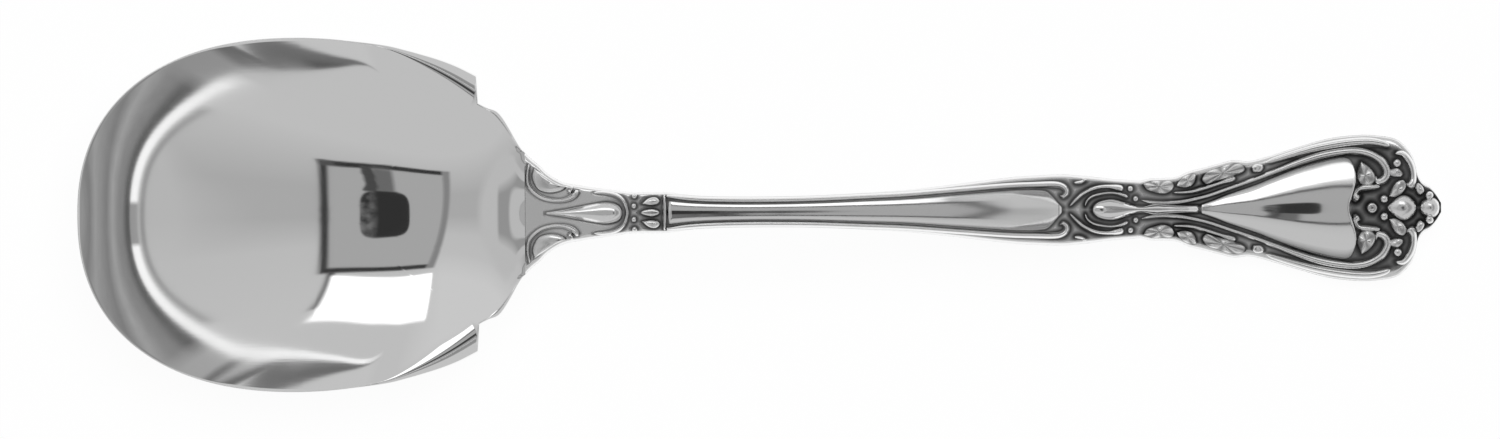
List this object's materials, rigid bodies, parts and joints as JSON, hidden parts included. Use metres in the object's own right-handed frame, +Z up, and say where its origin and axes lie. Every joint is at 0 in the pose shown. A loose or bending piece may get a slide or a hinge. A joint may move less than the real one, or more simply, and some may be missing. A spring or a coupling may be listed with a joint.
{
  "type": "sugar spoon",
  "caption": "Serving spoon with a broad round bowl, flared notched shoulders and a slim scrolled handle that ends in a teardrop.",
  "frame": {"origin": "centre of the spoon's outline on the table that it lies on", "axes": "+X along the spoon towards the tip of the handle, +Z up out of the bowl, +Y across"},
  "size_m": [0.15, 0.039, 0.0108],
  "materials": {
    "polished_silver": "bright polished silver",
    "relief_silver": "polished silver with darker, tarnished recesses"
  },
  "bodies": {
    "root": {"bowl": "polished_silver", "stem_panel": "polished_silver", "teardrop_panel": "polished_silver", "boss": "polished_silver", "handle_blank": "relief_silver", "neck_shells": "relief_silver", "neck_scrolls": "relief_silver", "neck_curls": "relief_silver", "neck_bud": "relief_silver", "bud_rib": "relief_silver", "neck_grains": "relief_silver", "collar_leaves": "relief_silver", "collar_band": "relief_silver", "edge_threads": "relief_silver", "boss_scrolls": "relief_silver", "boss_rings": "relief_silver", "boss_hooks": "relief_silver", "boss_grains": "relief_silver", "waist_leaves": "relief_silver", "waist_scrolls": "relief_silver", "inner_threads": "relief_silver", "outer_threads": "relief_silver", "tip_leaves": "relief_silver", "tip_scrolls": "relief_silver", "tip_curls": "relief_silver", "tip_grains": "relief_silver", "rosette": "relief_silver", "tip_shell": "relief_silver"}
  },
  "joints": []
}
